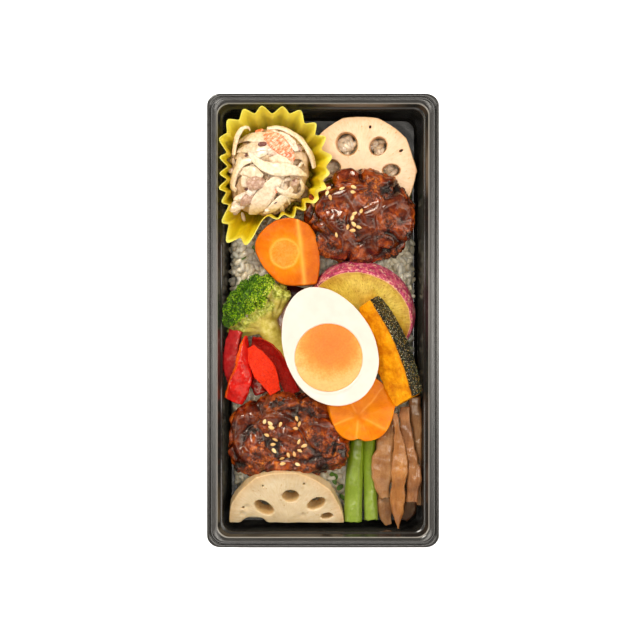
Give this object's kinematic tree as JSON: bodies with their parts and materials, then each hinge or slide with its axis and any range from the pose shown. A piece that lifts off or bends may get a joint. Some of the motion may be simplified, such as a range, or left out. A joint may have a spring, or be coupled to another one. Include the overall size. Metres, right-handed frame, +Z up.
{
  "type": "bento box meal",
  "caption": "Slim open meal tray packed with rice and cooked side pieces: patties, half an egg, root vegetables, greens and a salad in a pleated cup.",
  "frame": {"origin": "middle of the tray's footprint, at the level it stands on", "axes": "+X across the tray, +Y along it towards the end with the salad cup, +Z up"},
  "size_m": [0.11, 0.215, 0.0469],
  "materials": {
    "tray_plastic": "satin black thermoformed plastic",
    "rice": "moist steamed grains",
    "cup_foil": "thin pleated film, yellow green",
    "salad": "strips in creamy dressing",
    "lotus_root": "moist simmered root",
    "glazed_patty": "browned minced meat under a glossy sauce",
    "carrot": "moist simmered carrot",
    "broccoli": "fine buds on pale stems",
    "egg_white": "smooth boiled egg white",
    "egg_yolk": "soft-set yolk",
    "sweet_potato": "steamed flesh with a purple skin",
    "pumpkin": "cooked flesh with a speckled dark green rind",
    "red_pepper": "shiny roasted pepper",
    "green_bean": "moist boiled bean",
    "mushroom": "moist simmered strips",
    "eggplant": "soft fried flesh with dark skin"
  },
  "bodies": {
    "root": {"tray": "tray_plastic", "rice_bed": "rice", "food_cup": "cup_foil", "salad": "salad", "lotus_slice_upper": "lotus_root", "lotus_slice_lower": "lotus_root", "patty_upper": "glazed_patty", "patty_lower": "glazed_patty", "carrot_chunk": "carrot", "carrot_flower": "carrot", "broccoli": "broccoli", "egg_white": "egg_white", "egg_yolk": "egg_yolk", "sweet_potato": "sweet_potato", "pumpkin_slice": "pumpkin", "pepper_strip_1": "red_pepper", "pepper_strip_2": "red_pepper", "pepper_strip_3": "red_pepper", "pepper_strip_4": "red_pepper", "pepper_strip_5": "red_pepper", "bean_1": "green_bean", "bean_2": "green_bean", "mushroom_strip_1": "mushroom", "mushroom_strip_2": "mushroom", "mushroom_strip_3": "mushroom", "mushroom_strip_4": "mushroom", "mushroom_strip_5": "mushroom", "mushroom_strip_6": "mushroom", "eggplant_piece": "eggplant"}
  },
  "joints": []
}
